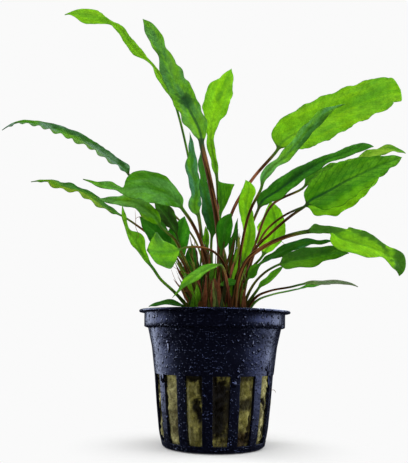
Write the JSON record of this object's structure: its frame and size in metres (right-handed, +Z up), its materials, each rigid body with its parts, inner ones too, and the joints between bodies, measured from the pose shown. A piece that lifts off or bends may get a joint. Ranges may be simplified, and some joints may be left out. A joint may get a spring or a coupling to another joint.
{
  "type": "potted cryptocoryne",
  "caption": "Aquarium plant with lance-shaped green leaves on slender stalks, rooted in rockwool in a round slotted net pot that tapers to a flat base.",
  "frame": {"origin": "middle of the pot's base, on the surface that it stands on", "axes": "+Z up along the pot's axis, -Y towards the side that the picture shows, +X to its right"},
  "size_m": [0.1708, 0.0747, 0.1869],
  "materials": {
    "pot_plastic": "gloss",
    "rockwool": "matte",
    "leaf_bright": "satin",
    "leaf_mid": "satin",
    "leaf_dark": "satin"
  },
  "bodies": {
    "root": {"pot": "pot_plastic", "rockwool": "rockwool", "leaf_tall_left": "leaf_mid", "leaf_far_left": "leaf_bright", "leaf_upright_centre": "leaf_bright", "leaf_pointing_right": "leaf_mid", "leaf_short_centre": "leaf_dark", "leaf_dark_centre": "leaf_dark", "leaf_upright_left": "leaf_mid", "leaf_small_back": "leaf_bright", "leaf_broad_left": "leaf_mid", "leaf_long_left": "leaf_mid", "leaf_low_long_left": "leaf_mid", "leaf_under_broad_left": "leaf_bright", "leaf_dark_left": "leaf_dark", "leaf_bright_front": "leaf_bright", "leaf_dark_inner": "leaf_dark", "leaf_low_left": "leaf_bright", "leaf_crossing_front": "leaf_mid", "leaf_small_curled": "leaf_dark", "leaf_small_right": "leaf_mid", "leaf_light_upright": "leaf_bright", "leaf_yellow_back": "leaf_bright", "leaf_large_upper_right": "leaf_bright", "leaf_narrow_right": "leaf_dark", "leaf_dark_folded_right": "leaf_dark", "leaf_back_right": "leaf_mid", "leaf_broad_right": "leaf_mid", "leaf_under_broad_right": "leaf_bright", "leaf_drooping_right": "leaf_bright", "leaf_dark_low_right": "leaf_dark", "leaf_green_low_right": "leaf_mid", "leaf_strip_right": "leaf_mid", "leaf_thin_low_right": "leaf_mid", "leaf_thin_low_back": "leaf_mid", "leaf_over_rim": "leaf_dark", "leaf_dark_upper_left": "leaf_dark", "leaf_dark_behind": "leaf_dark", "leaf_narrow_inner": "leaf_dark", "leaf_brown_sheath": "leaf_dark"}
  },
  "joints": []
}
